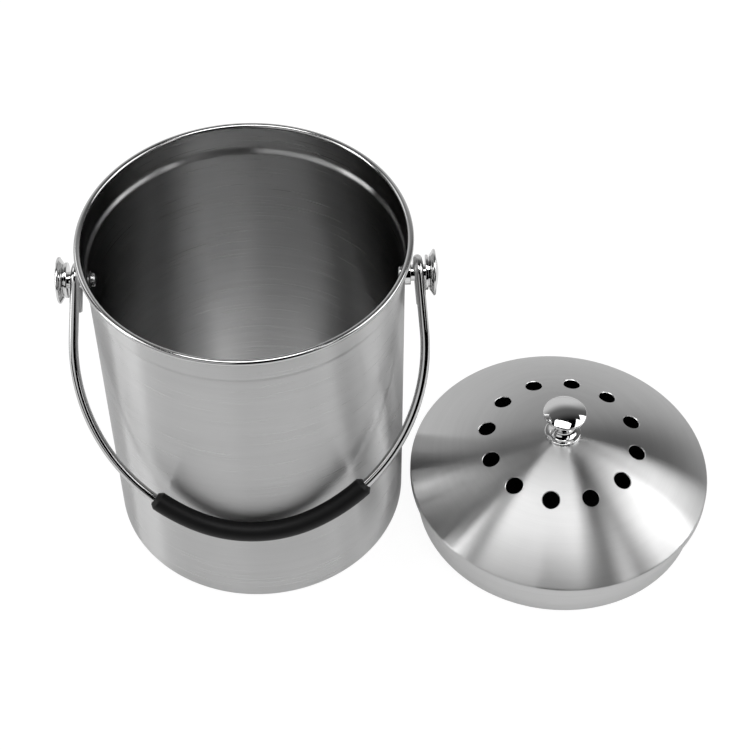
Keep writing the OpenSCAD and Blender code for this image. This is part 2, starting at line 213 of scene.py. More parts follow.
def copy_of(piece, name):
    """A copy with its own mesh."""
    make_active(piece)
    bpy.ops.object.duplicate(linked=False)
    made = bpy.context.object
    made.name = name
    return made


def ring_of(piece, count, first=0):
    """Copies a piece evenly round the Z axis, and joins the copies into it."""
    copies = [copy_of(piece, f"{piece.name}_{i}") for i in range(1, count)]
    for i, one in enumerate([piece, *copies]):
        place(one, turned=(0, 0, first + i * 360 / count))
    return join([piece, *copies])


def join(pieces):
    """Joins pieces into the first of them."""
    make_active(pieces[0])
    for one in pieces[1:]:
        one.select_set(True)
    bpy.ops.object.join()
    return bpy.context.object


def combine(piece, tool, operation):
    """Cuts a piece with another closed mesh, or joins it on, and removes the tool."""
    make_active(piece)
    bpy.ops.object.modifier_add(type="BOOLEAN")
    cut = piece.modifiers[-1]
    cut.operation = operation
    cut.solver = "EXACT"
    cut.object = tool
    bpy.ops.object.modifier_apply(modifier=cut.name)
    bpy.data.objects.remove(tool)
    return piece


def off_box(piece, node):
    """How far a piece's box is from its CAD node's box, in millimetres."""
    low, high = box_mm(node)
    corners = [piece.matrix_world @ Vector(c) / MM for c in piece.bound_box]
    return max(
        max(abs(min(c[i] for c in corners) - low[i]), abs(max(c[i] for c in corners) - high[i]))
        for i in range(3)
    )


def finish_piece(piece, node, material):
    """Smooths a piece, gives it its material, and puts it in the CAD node's place on its body."""
    make_active(piece)
    bpy.ops.object.shade_smooth_by_angle(angle=math.radians(SMOOTH_ANGLE))
    bpy.ops.object.modifier_add(type="WEIGHTED_NORMAL")
    piece.modifiers[-1].keep_sharp = True
    bpy.ops.object.modifier_apply(modifier=piece.modifiers[-1].name)
    piece.data.materials.clear()
    piece.data.materials.append(material)
    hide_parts(node)
    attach(piece, frame["nodes"][node]["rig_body"])
    faces = len(piece.data.polygons)
    print(f"{piece.name}: {faces} faces, {off_box(piece, node):.2f} mm off the box of {node}")
    return piece


print("finished pieces are smooth up to", SMOOTH_ANGLE, "degrees")

# %% [markdown]
# ## Helpers for materials
#
# Colours are written as sRGB hex values and turned to the linear values that Blender mixes. One function
# adds a node: its settings are the node's own properties, and its inputs are values or other nodes'
# outputs. Patterns read Object coordinates, and their scale is one over a real size. Blender's noise
# stays near its middle, so only the part from `NOISE_LOW` to `NOISE_HIGH` is stretched to a range.

# %% Helpers for materials
NOISE_LOW, NOISE_HIGH = 0.3, 0.7


def srgb(code):
    """A colour such as "#C8C8C8" as linear RGBA."""
    parts = [int(code[i : i + 2], 16) / 255 for i in (1, 3, 5)]
    return [p / 12.92 if p <= 0.04045 else ((p + 0.055) / 1.055) ** 2.4 for p in parts] + [1]


def new_material(name):
    """A material with an empty node tree."""
    material = bpy.data.materials.new(name)
    material.use_nodes = True
    material.node_tree.nodes.clear()
    return material


def add_node(tree, kind, inputs=None, **settings):
    """Adds a node with its settings, and sets or links its inputs."""
    made = tree.nodes.new(kind)
    for name, value in settings.items():
        setattr(made, name, value)
    for socket, value in (inputs or {}).items():
        if isinstance(value, bpy.types.NodeSocket):
            tree.links.new(value, made.inputs[socket])
        else:
            made.inputs[socket].default_value = value
    return made


def ring_lines(tree, centre, width, stretch, detail=2.0):
    """Noise drawn out into rings round an upright axis, as a brush leaves them on turning sheet.
    width is the lines' width in millimetres, and stretch how often they change in one radian."""
    place_of = add_node(tree, "ShaderNodeTexCoord").outputs["Object"]
    centred = add_node(
        tree, "ShaderNodeMapping", {"Vector": place_of, "Location": [-c * MM for c in centre]}
    ).outputs[0]
    flat = add_node(
        tree, "ShaderNodeVectorMath", {0: centred, 1: (1, 1, 0)}, operation="MULTIPLY"
    ).outputs[0]
    radius = add_node(tree, "ShaderNodeVectorMath", {0: flat}, operation="LENGTH").outputs["Value"]
    height = add_node(tree, "ShaderNodeSeparateXYZ", {0: centred}).outputs["Z"]
    across = add_node(tree, "ShaderNodeMath", {0: radius, 1: height}, operation="SUBTRACT").outputs[0]
    heading = add_node(tree, "ShaderNodeVectorMath", {0: flat}, operation="NORMALIZE").outputs[0]
    around = add_node(
        tree, "ShaderNodeVectorMath", {0: heading, "Scale": stretch * width * MM}, operation="SCALE"
    ).outputs[0]
    step = add_node(tree, "ShaderNodeCombineXYZ", {"Z": across}).outputs[0]
    drawn_out = add_node(tree, "ShaderNodeVectorMath", {0: around, 1: step}, operation="ADD").outputs[0]
    return add_node(
        tree, "ShaderNodeTexNoise", {"Vector": drawn_out, "Scale": 1 / (width * MM), "Detail": detail}
    ).outputs["Fac"]


def spread(tree, noise, low, high):
    """Stretches noise to a range."""
    return add_node(
        tree,
        "ShaderNodeMapRange",
        {"Value": noise, "From Min": NOISE_LOW, "From Max": NOISE_HIGH, "To Min": low, "To Max": high},
    ).outputs[0]


print("grey C8C8C8 in linear light:", round(srgb("#C8C8C8")[0], 3))

# %% [markdown]
# ## Brushed stainless sheet
#
# The pail and the lid are stainless steel, AISI 304, brushed on a turning form with an abrasive belt. The
# scratches run round the axis, so a highlight is drawn out across them: down the wall, and along the
# radius of the lid. It stays narrow along the scratches, which gives the lid its bright and dark sectors
# and the wall its upright bands. Blender's Glossy shader does this with a roughness, an anisotropy and a
# radial tangent, which are worked out here from the two spreads of the highlight. With Beckmann's
# distribution nothing is left past the highlight, as the dark parts of the lid and the inside need, and
# with GGX it has long soft tails, as on the pail's outside. The fine scratches vary the gloss a little.
#
# Here and there a coarser grain has torn the surface, more so inside, below the shoulder, where the
# belt's edge has rubbed. Such a scratch scatters light widely, so it shows as a bright dash on dark steel
# and is lost on bright steel: a rougher Principled metal is mixed in along the peaks of the noise. Real
# scratches are 0.05 to 0.1 mm wide. They are drawn at 0.5 mm, because finer ones would not show.

# %% Brushed stainless sheet
SCRATCH_W, SCRATCH_TURNS = 0.5, 1.6
BAND_W, BAND_TURNS = 5, 0.8
PATCH_W, PATCH_TURNS = 28, 1.5
SCRATCH_DEPTH = 0.002
TORN_PEAKS = (0.56, 0.68)
PATCH_PEAKS = (0.45, 0.6)
TORN_ROUGHNESS = 0.42
HAZE_SHARE = 0.012


def torn_share_of(tree, scratches, axis, most, rubbed):
    """The share of torn steel: a haze of it all over, and the most where the peaks of the scratches
    meet a patch, and the rubbed heights if they are given."""
    patches = ring_lines(tree, axis, PATCH_W, PATCH_TURNS)
    masks = [(scratches, *TORN_PEAKS), (patches, *PATCH_PEAKS)]
    if rubbed:
        place_of = add_node(tree, "ShaderNodeTexCoord").outputs["Object"]
        height = add_node(tree, "ShaderNodeSeparateXYZ", {0: place_of}).outputs["Z"]
        masks.append((height, rubbed[0] * MM, rubbed[1] * MM))
    where = 1.0
    for value, foot, top in masks:
        mask = add_node(
            tree, "ShaderNodeMapRange", {"Value": value, "From Min": foot, "From Max": top}
        ).outputs[0]
        where = add_node(tree, "ShaderNodeMath", {0: where, 1: mask}, operation="MULTIPLY").outputs[0]
    return add_node(
        tree, "ShaderNodeMapRange", {"Value": where, "To Min": HAZE_SHARE, "To Max": most}
    ).outputs[0]


def brushed_sheet(name, dark, light, spreads, law, gloss_step, torn_share, axis=(0, 0, 0), rubbed=None):
    """Stainless sheet brushed round an upright axis. spreads are the highlight's width across and along
    the scratches, law is its distribution, and gloss_step is how far the scratches vary its roughness.
    rubbed is two heights in millimetres, over which the torn scratches begin."""
    across, along = spreads
    material = new_material(name)
    tree = material.node_tree
    scratches = ring_lines(tree, axis, SCRATCH_W, SCRATCH_TURNS, detail=3.0)
    bands = ring_lines(tree, axis, BAND_W, BAND_TURNS)
    both = add_node(tree, "ShaderNodeMath", {0: scratches, 1: bands}, operation="ADD").outputs[0]
    both = add_node(tree, "ShaderNodeMath", {0: both, 1: 0.5}, operation="MULTIPLY").outputs[0]
    tint = add_node(
        tree,
        "ShaderNodeMix",
        {0: spread(tree, both, 0, 1), 6: srgb(dark), 7: srgb(light)},
        data_type="RGBA",
    ).outputs[2]
    bump = add_node(
        tree, "ShaderNodeBump", {"Height": scratches, "Strength": 0.3, "Distance": SCRATCH_DEPTH * MM}
    ).outputs[0]
    tangent = add_node(tree, "ShaderNodeTangent", direction_type="RADIAL", axis="Z").outputs[0]
    roughness = (across * along) ** 0.25
    brushed = add_node(
        tree,
        "ShaderNodeBsdfAnisotropic",
        {
            "Color": tint,
            "Roughness": spread(tree, scratches, roughness + gloss_step, roughness - gloss_step),
            "Anisotropy": 1 - math.sqrt(along / across),
            "Normal": bump,
            "Tangent": tangent,
        },
        distribution=law,
    ).outputs[0]
    torn = add_node(
        tree,
        "ShaderNodeBsdfPrincipled",
        {"Base Color": tint, "Metallic": 1.0, "Roughness": TORN_ROUGHNESS, "Normal": bump},
    ).outputs[0]
    share = torn_share_of(tree, scratches, axis, torn_share, rubbed)
    surface = add_node(tree, "ShaderNodeMixShader", {0: share, 1: brushed, 2: torn}).outputs[0]
    add_node(tree, "ShaderNodeOutputMaterial", {"Surface": surface})
    return material


print("brushed sheet: scratches", SCRATCH_W, "mm wide, bands", BAND_W, "mm, patches", PATCH_W, "mm")

# %% [markdown]
# The three sheets differ in how they were held under the belt. The pail's outside has the widest
# highlight and few torn scratches, its inside is rubbed and has darker greys, which are painted shade
# for the dark inside of the pail, and the lid is brushed round its own axis.

# %% The caddy's three sheets
skirt_low, skirt_high = box_mm("lid_skirt")
LID_AXIS = ((skirt_low.x + skirt_high.x) / 2, (skirt_low.y + skirt_high.y) / 2, 0)
RUBBED = (SHOULDER_LOW - 45, SHOULDER_LOW - 8)

pail_steel = brushed_sheet(
    "brushed_stainless_pail", "#CBCBCB", "#D1D1D1", (0.32, 0.02), "GGX", 0.01, 0.08
)
# The inside's greys are darker than the outside's: painted shade for the dark inside of the pail.
inside_steel_painted_shade = brushed_sheet(
    "brushed_stainless_inside", "#C4C4C4", "#CCCCCC", (0.24, 0.03), "BECKMANN", 0.02, 0.6, rubbed=RUBBED
)
lid_steel = brushed_sheet(
    "brushed_stainless_lid", "#CACACA", "#D0D0D0", (0.3, 0.027), "BECKMANN", 0.015, 0.07, LID_AXIS
)
print("lid axis:", LID_AXIS)

# %% [markdown]
# ## Polished, drawn and plain steel
#
# The knob and the caps are turned stainless steel, polished to a mirror, so they have almost no roughness
# and only faint wipe marks. The bail is drawn wire that was polished before it was bent, nearly as bright.
# The rim's bead is buffed, so the lamps show in it as one soft white line. The vents' rims are only
# deburred, so they are rougher, and their lighter grey is a painted highlight for the thin bright line
# round each vent. The screws are plain cold-formed stainless, a little duller. One
# function makes them all, with noise that breaks up the gloss.

# %% Polished, drawn and plain steel


def solid_steel(name, colour, low_roughness, high_roughness, grain, depth):
    """Steel whose gloss varies with noise. Its grain and depth are in millimetres."""
    material = new_material(name)
    tree = material.node_tree
    place_of = add_node(tree, "ShaderNodeTexCoord").outputs["Object"]
    noise = add_node(
        tree, "ShaderNodeTexNoise", {"Vector": place_of, "Scale": 1 / (grain * MM), "Detail": 4.0}
    ).outputs["Fac"]
    bump = add_node(
        tree, "ShaderNodeBump", {"Height": noise, "Strength": 0.2, "Distance": depth * MM}
    ).outputs[0]
    shader = add_node(
        tree,
        "ShaderNodeBsdfPrincipled",
        {
            "Base Color": srgb(colour),
            "Metallic": 1.0,
            "Roughness": spread(tree, noise, low_roughness, high_roughness),
            "Normal": bump,
        },
    ).outputs[0]
    add_node(tree, "ShaderNodeOutputMaterial", {"Surface": shader})
    return material


polished_steel = solid_steel("polished_stainless", "#DCDCDC", 0.03, 0.07, 3, 0.002)
wire_steel = solid_steel("drawn_stainless_wire", "#C8C8C8", 0.03, 0.07, 1.2, 0.001)
bead_steel = solid_steel("buffed_stainless_bead", "#C4C4C4", 0.1, 0.18, 2, 0.002)
# The vents' rims get a lighter grey than the lid: a painted highlight for the bright line round each vent.
rim_steel_painted_highlight = solid_steel("deburred_stainless_rim", "#D8D8D8", 0.3, 0.4, 1, 0.002)
fastener_steel = solid_steel("plain_stainless_fastener", "#BEBEBE", 0.2, 0.32, 0.8, 0.006)
print("solid steels: polished, drawn, buffed, deburred and plain")

# %% [markdown]
# ## Grip, seal, filter and retainer
#
# The grip is moulded in black polypropylene with a fine spark texture, which keeps a satin gloss. The
# seal washers are black rubber, the retainer is moulded like the grip but smoother, and the filter is
# open polyester foam loaded with charcoal: its pores are a Voronoi pattern about 1.5 mm across, and
# they are darker down in their hollows, which is painted shade.

# %% Grip, seal, filter and retainer
MOULD_STEP = 0.06


def moulded(name, colour, roughness, grain, depth, shine=0.5):
    """Plastic or rubber from a textured mould. Its grain and depth are in millimetres."""
    material = new_material(name)
    tree = material.node_tree
    place_of = add_node(tree, "ShaderNodeTexCoord").outputs["Object"]
    noise = add_node(
        tree, "ShaderNodeTexNoise", {"Vector": place_of, "Scale": 1 / (grain * MM), "Detail": 3.0}
    ).outputs["Fac"]
    bump = add_node(
        tree, "ShaderNodeBump", {"Height": noise, "Strength": 0.5, "Distance": depth * MM}
    ).outputs[0]
    shader = add_node(
        tree,
        "ShaderNodeBsdfPrincipled",
        {
            "Base Color": srgb(colour),
            "Roughness": spread(tree, noise, roughness - MOULD_STEP, roughness + MOULD_STEP),
            "Specular IOR Level": shine,
            "Normal": bump,
        },
    ).outputs[0]
    add_node(tree, "ShaderNodeOutputMaterial", {"Surface": shader})
    return material


def charcoal_foam(name, pore):
    """Black open-celled foam with pores of a width in millimetres. Its grey is darker in the low parts of
    its bump: painted shade in the pores.
    """
    material = new_material(name)
    tree = material.node_tree
    place_of = add_node(tree, "ShaderNodeTexCoord").outputs["Object"]
    pores = add_node(
        tree, "ShaderNodeTexVoronoi", {"Vector": place_of, "Scale": 1 / (pore * MM)}
    ).outputs["Distance"]
    # The pores are darker where the bump is lowest: painted shade in their hollows.
    tint = add_node(
        tree, "ShaderNodeMix", {0: pores, 6: srgb("#1E1E1E"), 7: srgb("#060606")}, data_type="RGBA"
    ).outputs[2]
    bump = add_node(
        tree,
        "ShaderNodeBump",
        {"Height": pores, "Strength": 0.9, "Distance": 0.4 * pore * MM},
        invert=True,
    ).outputs[0]
    shader = add_node(
        tree,
        "ShaderNodeBsdfPrincipled",
        {"Base Color": tint, "Roughness": 0.95, "Normal": bump, "Specular IOR Level": 0.2},
    ).outputs[0]
    add_node(tree, "ShaderNodeOutputMaterial", {"Surface": shader})
    return material


grip_plastic = moulded("satin_black_polypropylene", "#070708", 0.5, 0.5, 0.03, 0.25)
seal_rubber = moulded("black_rubber", "#1A1A1A", 0.75, 0.4, 0.02)
retainer_plastic = moulded("moulded_black_polypropylene", "#17171A", 0.42, 1.0, 0.02)
charcoal_felt = charcoal_foam("charcoal_foam", 1.5)
print("plastics: grip, seal, retainer and foam")

# %% [markdown]
# ## Pail
#
# The pail is one drawn sheet: a flat base with a tight corner, a straight wall, a soft shoulder, a wider
# collar that takes the lid's skirt, and a rim that is rolled outwards into a bead. All of it is one
# outline, drawn up the outside, round the bead and down the inside. The shoulder follows an eased curve
# that starts and ends without a kink, so that it shows as a soft line. The pivot screws pass through two
# small holes, which a rod cuts. Rings of edges above and below them keep the cut's odd faces short.

# %% Pail outline
HOLE_R = 1.9
SHOULDER_STEPS = 14
CORNER_STEPS = 8
BEAD_STEPS = 30
CUT_RINGS = [PIVOT_Z - 6, PIVOT_Z + 6]


def shoulder(radius):
    """The eased step from the wall to the collar, from its foot to its top."""
    points = []
    for i in range(SHOULDER_STEPS + 1):
        share = i / SHOULDER_STEPS
        eased = share**3 * (10 - 15 * share + 6 * share**2)
        points.append((radius + WALL_STEP * eased, SHOULDER_LOW + SHOULDER_H * share))
    return points


def pail_outside():
    """From the middle of the base up the wall and round the bead, back to the collar."""
    bead_x = RIM_R - BEAD_R
    bead_foot = math.degrees(math.acos((COLLAR_R - bead_x) / BEAD_R))
    return (
        [(POLE, 0)]
        + arc((WALL_R - CORNER_R, CORNER_R), CORNER_R, -90, 0, CORNER_STEPS)
        + [(WALL_R, z) for z in CUT_RINGS]
        + shoulder(WALL_R)
        + arc((bead_x, BEAD_Z), BEAD_R, -bead_foot, 180, BEAD_STEPS)
    )


def pail_inside():
    """From the top of the shoulder down the inside to the middle of the base."""
    return (
        shoulder(WALL_R - SHEET)[::-1]
        + [(WALL_R - SHEET, z) for z in CUT_RINGS[::-1]]
        + arc((WALL_R - CORNER_R, CORNER_R), CORNER_R - SHEET, 0, -90, CORNER_STEPS)
        + [(POLE, SHEET)]
    )


print("pail outline:", len(pail_outside()) + len(pail_inside()), "points")

# %% [markdown]
# The bead and the inside get steels of their own. Their faces are found by their place: the bead's lie
# near its round line, and the inside's look towards the axis, or up from the base.

# %% Pail
BEAD_REACH = 0.05
TURNED_IN = 0.1


def give_steels(pail):
    """Gives the inside its own brushed steel, with darker greys as painted shade, and the bead the steel
    of a buffed edge.
    """
    pail.data.materials.append(inside_steel_painted_shade)
    pail.data.materials.append(bead_steel)
    for face in pail.data.polygons:
        outwards = face.center.xy.normalized()
        radius, height = face.center.xy.length / MM, face.center.z / MM
        looks_in = face.normal.xy.dot(outwards) < -TURNED_IN
        on_base = face.normal.z > TURNED_IN and radius < WALL_R - SHEET
        if math.hypot(radius - (RIM_R - BEAD_R), height - BEAD_Z) < BEAD_R + BEAD_REACH:
            face.material_index = 2
        elif looks_in or on_base:
            face.material_index = 1


def make_pail():
    pail = turn("pail_shell", pail_outside() + pail_inside())
    rod = turn("rod", [(POLE, -RIM_R), (HOLE_R, -RIM_R), (HOLE_R, RIM_R), (POLE, RIM_R)], 32)
    place(rod, (0, 0, PIVOT_Z), (0, 90, 0))
    combine(pail, rod, "DIFFERENCE")
    finish_piece(pail, "pail_body", pail_steel)
    give_steels(pail)
    return pail


make_pail()

# %% [markdown]
# ## Pivots
#
# On each side a screw comes from inside, through a rubber washer, the wall, a saddle spacer and the bush
# that the bail turns on, into a polished cap. All five are turned parts. They are made upright, with the
# height as the distance from the pail's axis, and then laid over to the right or to the left.

# %% Measures of the pivots
SIDE_TURNS = {"right": 90, "left": -90}


def pivot_size(part):
    """The inner end, the outer end and the radius of a pivot's part, in millimetres."""
    low, high = box_mm(f"right_{part}")
    return low.x, high.x, (high.z - low.z) / 2


seal_in, _, seal_r = pivot_size("seal_washer")
_, spacer_out, spacer_r = pivot_size("saddle_spacer")
_, bush_out, bush_r = pivot_size("pivot_bush")
_, cap_top, cap_r = pivot_size("pivot_cap")
_, screw_tip, _ = pivot_size("pivot_screw")


def on_pivot(piece, side, node, material):
    """Lays an upright piece over onto its side of the pail."""
    place(piece, (0, 0, PIVOT_Z), (0, SIDE_TURNS[side], 0))
    piece.name = piece.name.replace("pivot", f"{side}_pivot")
    return finish_piece(piece, f"{side}_{node}", material)


print(f"pivots: bush to {bush_out:.2f} mm, cap to {cap_top:.2f} mm from the axis")

# %% [markdown]
# The pivot screws and the knob's screw have the same pan head: low, round at its edge, with a cross
# recess. The head points down, and the recess is cut with two crossed bars.

# %% Pan-head screws
HEAD_ROUND = 0.45
SLOT_REACH = 1.1
SLOT_W = 0.22


def cross_cutter(reach, slot_w, low, high):
    """Two crossed bars that cut a cross recess."""
    bars = []
    for size in ((reach, slot_w), (slot_w, reach)):
        deselect()
        bpy.ops.mesh.primitive_cube_add(size=MM, location=(0, 0, (low + high) / 2 * MM))
        bars.append(bpy.context.object)
        bars[-1].scale = (*size, high - low)
        bpy.ops.object.transform_apply()
    return combine(bars[0], bars[1], "UNION")


def pan_head_screw(name, head_r, face, foot, shank_r, tip, tip_cut):
    """A screw whose head reaches up from its face to its foot, and its shank on to its tip. The tip's
    edge is cut off by a little."""
    round_r = HEAD_ROUND * (foot - face)
    screw = turn(
        name,
        [(POLE, face)]
        + arc((head_r - round_r, face + round_r), round_r, -90, 0, 8)
        + [(head_r, foot), (shank_r, foot), (shank_r, tip - tip_cut), (shank_r - tip_cut, tip)]
        + [(POLE, tip)],
        64,
    )
    cross = cross_cutter(SLOT_REACH * head_r, SLOT_W * head_r, face - 1, (face + foot) / 2)
    return combine(screw, cross, "DIFFERENCE")


print("pan heads: the slots are", SLOT_W, "of the head's radius wide")

# %% [markdown]
# The washer and the spacer sit on a round wall, so a cylinder of the wall's own radius shapes the faces
# that touch it: the washer keeps what is inside it, and the spacer loses that. The bush is a plain tube.

# %% Screw, washer, spacer and bush
SCREW_R = 1.75
SCREW_HEAD_R = 4
SCREW_HEAD_H = 2.4
SCREW_TIP_CUT = 0.4
SEAL_CUT = 0.2
SPACER_ROUND = 0.5
WALL_HALF_L = 20


def wall_cylinder(radius):
    """A cylinder along the height of the pail, laid across the upright pivot pieces."""
    outline = [(POLE, -WALL_HALF_L), (radius, -WALL_HALF_L), (radius, WALL_HALF_L), (POLE, WALL_HALF_L)]
    return place(turn("wall", outline, 512), turned=(0, 90, 0))


def make_screw(side):
    screw = pan_head_screw(
        "pivot_screw_turned",
        SCREW_HEAD_R,
        seal_in - SCREW_HEAD_H,
        seal_in,
        SCREW_R,
        screw_tip,
        SCREW_TIP_CUT,
    )
    return on_pivot(screw, side, "pivot_screw", fastener_steel)


def make_seal(side):
    seal = turn(
        "pivot_seal_ring",
        [(HOLE_R, seal_in), (seal_r - SEAL_CUT, seal_in), (seal_r, seal_in + SEAL_CUT), (seal_r, WALL_R)]
        + [(HOLE_R, WALL_R), (HOLE_R, seal_in)],
        64,
    )
    combine(seal, wall_cylinder(WALL_R - SHEET), "INTERSECT")
    return on_pivot(seal, side, "seal_washer", seal_rubber)


def make_spacer(side):
    rounded = arc((spacer_r - SPACER_ROUND, spacer_out - SPACER_ROUND), SPACER_ROUND, 0, 90, 4)
    foot = WALL_R - SHEET
    spacer = turn(
        "pivot_saddle_turned",
        [(HOLE_R, foot), (spacer_r, foot)] + rounded + [(HOLE_R, spacer_out), (HOLE_R, foot)],
        96,
    )
    combine(spacer, wall_cylinder(WALL_R), "DIFFERENCE")
    return on_pivot(spacer, side, "saddle_spacer", polished_steel)


def make_bush(side):
    low, high = spacer_out, bush_out
    outline = [(HOLE_R, low), (bush_r, low), (bush_r, high), (HOLE_R, high), (HOLE_R, low)]
    bush = turn("pivot_bush_turned", outline, 64)
    return on_pivot(bush, side, "pivot_bush", polished_steel)

# %% [markdown]
# The cap has two tiers. The narrow one holds the wire's eye on the bush. After a groove the wide one
# flares out to a rounded edge, which runs into a shallow dome.

# %% Pivot caps
CAP_TIER_R = 10.2
CAP_TIER_T = 1.6
CAP_TIER_ROUND = 0.3
CAP_GROOVE_T = 0.7
CAP_GROOVE_D = 1.4
CAP_FLARE_IN = 0.4
CAP_EDGE_SHARE = 0.65
CAP_EDGE_R = 0.9
CAP_EDGE_ENDS = (-math.degrees(math.asin(0.7)), 147)
CAP_TAP_PLAY = 0.05


def dome(radius, foot, rise, steps, start_r=None):
    """A shallow dome's outline to its top. It starts at its rim, or nearer to the axis."""
    ball = (radius**2 + rise**2) / (2 * rise)
    start = math.degrees(math.acos((start_r or radius) / ball))
    return arc((0, foot + rise - ball), ball, start, 90, steps)[:-1] + [(POLE, foot + rise)]


def make_cap(side):
    height = cap_top - bush_out
    edge_z = bush_out + CAP_EDGE_SHARE * height
    edge_x = cap_r - CAP_EDGE_R
    tier_top = bush_out + CAP_TIER_T
    groove_top = tier_top + CAP_GROOVE_T
    groove_r = CAP_TIER_R - CAP_GROOVE_D
    tap_r = SCREW_R + CAP_TAP_PLAY
    tier_x = CAP_TIER_R - CAP_TIER_ROUND
    outline = (
        [(POLE, edge_z), (tap_r, edge_z), (tap_r, bush_out)]
        + arc((tier_x, bush_out + CAP_TIER_ROUND), CAP_TIER_ROUND, -90, 0, 4)
        + arc((tier_x, tier_top - CAP_TIER_ROUND), CAP_TIER_ROUND, 0, 90, 4)
        + [(groove_r, tier_top), (groove_r, groove_top), (CAP_TIER_R - CAP_FLARE_IN, groove_top)]
        + arc((edge_x, edge_z), CAP_EDGE_R, *CAP_EDGE_ENDS, 20)
        + dome(edge_x + 0.4 * CAP_EDGE_R, edge_z, cap_top - edge_z, 12, edge_x - 0.95 * CAP_EDGE_R)
    )
    cap = turn("pivot_cap_polished", outline, 192)
    return on_pivot(cap, side, "pivot_cap", polished_steel)


for side in SIDE_TURNS:
    for make in (make_screw, make_seal, make_spacer, make_bush, make_cap):
        make(side)

# %% [markdown]
# ## Bail
#
# The bail is one length of drawn wire. It is bent flat in three arcs, and each end turns up through an
# eye over its bush and ends behind it. A circle stands for the bar's end: it is spun round each bend's
# centre and pushed along each straight, from the middle to the right end. A mirror makes the left half.
# It is drawn hanging straight down from the pivots, and then swung forward to where its grip rests.

# %% Measures of the bail
WIRE_R = 2.75
BUSH_PLAY = 0.3
EYE_R = bush_r + BUSH_PLAY + WIRE_R
EYE_X = (spacer_out + bush_out) / 2
LEG_L = 32
LEG_LEAN = math.radians(4.5)
TAIL_L = 20
TAIL_ROUND = 0.5
TAIL_END = 0.8
MID_R = 84
MID_A = math.radians(24)

# The side bend meets the leg and the middle bend without a kink
leg_end = (EYE_X + LEG_L * math.sin(LEG_LEAN), -LEG_L * math.cos(LEG_LEAN))
SIDE_R = (leg_end[0] - MID_R * math.sin(MID_A)) / (math.cos(LEG_LEAN) - math.sin(MID_A))
SIDE_X = leg_end[0] - SIDE_R * math.cos(LEG_LEAN)
SIDE_Z = leg_end[1] - SIDE_R * math.sin(LEG_LEAN)
MID_Z = SIDE_Z - (SIDE_R - MID_R) * math.cos(MID_A)

# The bail swings forward until its grip nearly touches the wall
REACH = MID_R - MID_Z
GRIP_R = 5.75
REST_GAP = 0.3
BAIL_SHIFT = 0.5
swing = math.asin((WALL_R + GRIP_R + REST_GAP) / math.hypot(REACH, EYE_R)) - math.atan2(EYE_R, REACH)
print(f"bail: rests {math.degrees(swing):.2f} degrees forward, side bends {SIDE_R:.1f} mm")

# %% Bail wire
def bar_end(name, radius, at, tilt=0, sides=32):
    """A circle across the bail's line, at a point, with its normal tilted from upright about Y."""
    deselect()
    bpy.ops.mesh.primitive_circle_add(
        vertices=sides, radius=radius * MM, location=Vector(at) * MM, rotation=(0, tilt, 0)
    )
    bpy.context.object.name = name
    bpy.ops.object.transform_apply()
    bpy.ops.object.mode_set(mode="EDIT")
    bpy.ops.mesh.select_all(action="SELECT")
    return bpy.context.object


def spin_on(centre, angle, steps, axis=(0, 1, 0)):
    """Spins the selected end on round a bend's centre, in millimetres, by an angle in radians."""
    bpy.ops.mesh.spin(steps=steps, angle=angle, center=Vector(centre) * MM, axis=axis)


def push_on(way):
    """Pushes the selected end straight on, in millimetres."""
    bpy.ops.mesh.extrude_region_move(TRANSFORM_OT_translate={"value": Vector(way) * MM})


def hang(piece):
    """Swings a piece that is drawn straight down to the bail's rest on the pail's front."""
    return place(piece, (BAIL_SHIFT, 0, PIVOT_Z), (-math.degrees(swing), 0, 0))


def make_wire():
    wire = bar_end("bail_bar", WIRE_R, (0, -EYE_R, -REACH), math.pi / 2)
    spin_on((0, -EYE_R, MID_Z), MID_A, 16)
    spin_on((SIDE_X, -EYE_R, SIDE_Z), math.pi / 2 - MID_A + LEG_LEAN, 48)
    up = Vector((-math.sin(LEG_LEAN), 0, math.cos(LEG_LEAN)))
    push_on(up * LEG_L)
    spin_on((EYE_X, 0, 0), math.pi, 32, (math.cos(LEG_LEAN), 0, math.sin(LEG_LEAN)))
    push_on(-up * (TAIL_L - TAIL_ROUND))
    push_on(-up * TAIL_ROUND)
    end = Vector((EYE_X, EYE_R, 0)) - up * TAIL_L
    bpy.ops.transform.resize(value=(TAIL_END,) * 3, center_override=end * MM)
    bpy.ops.mesh.edge_face_add()
    bpy.ops.object.mode_set(mode="OBJECT")
    bpy.ops.object.modifier_add(type="MIRROR")
    wire.modifiers[-1].merge_threshold = 2 * POLE * MM
    bpy.ops.object.modifier_apply(modifier=wire.modifiers[-1].name)
    bpy.ops.object.mode_set(mode="EDIT")
    close_up()
    hang(wire)
    return finish_piece(wire, "bail_wire", wire_steel)


make_wire()

# %% [markdown]
# ## Grip
#
# The grip is a thick moulded sleeve on the wire, with a chamfer at each end. It follows the same bends,
# so a ring of two circles, the bore and the outside, is spun along them. The last step at each end is
# short, and drawing in only the outer circle there makes the chamfer. The grip has slid a little to one
# side on the wire. A small bevel softens the edges of the moulding.

# %% Measures of the grip
GRIP_L = 135
GRIP_SLIDE = 4.5
GRIP_BORE_R = WIRE_R + 0.05
CHAMFER_L = 2.4
CHAMFER_D = 1.9
ON_RING = 0.05
EDGE_BEVEL_W = 0.35
EDGE_BEVEL_STEPS = 3
EDGE_BEVEL_ANGLE = 25


def grip_ends():
    """Angles on the side bends, from the middle bend on, that the grip's left and right end reach."""
    half_mid = MID_R * MID_A
    return [(GRIP_L / 2 + slide - half_mid) / SIDE_R for slide in (-GRIP_SLIDE, GRIP_SLIDE)]


def side_point(angle, side):
    """A point of the wire's line on a side bend, an angle on from the middle bend."""
    a = MID_A - math.pi / 2 + angle
    return Vector((side * (SIDE_X + SIDE_R * math.cos(a)), -EYE_R, SIDE_Z + SIDE_R * math.sin(a)))


print("grip: ends", [round(math.degrees(a), 2) for a in grip_ends()], "degrees on from the middle bend")

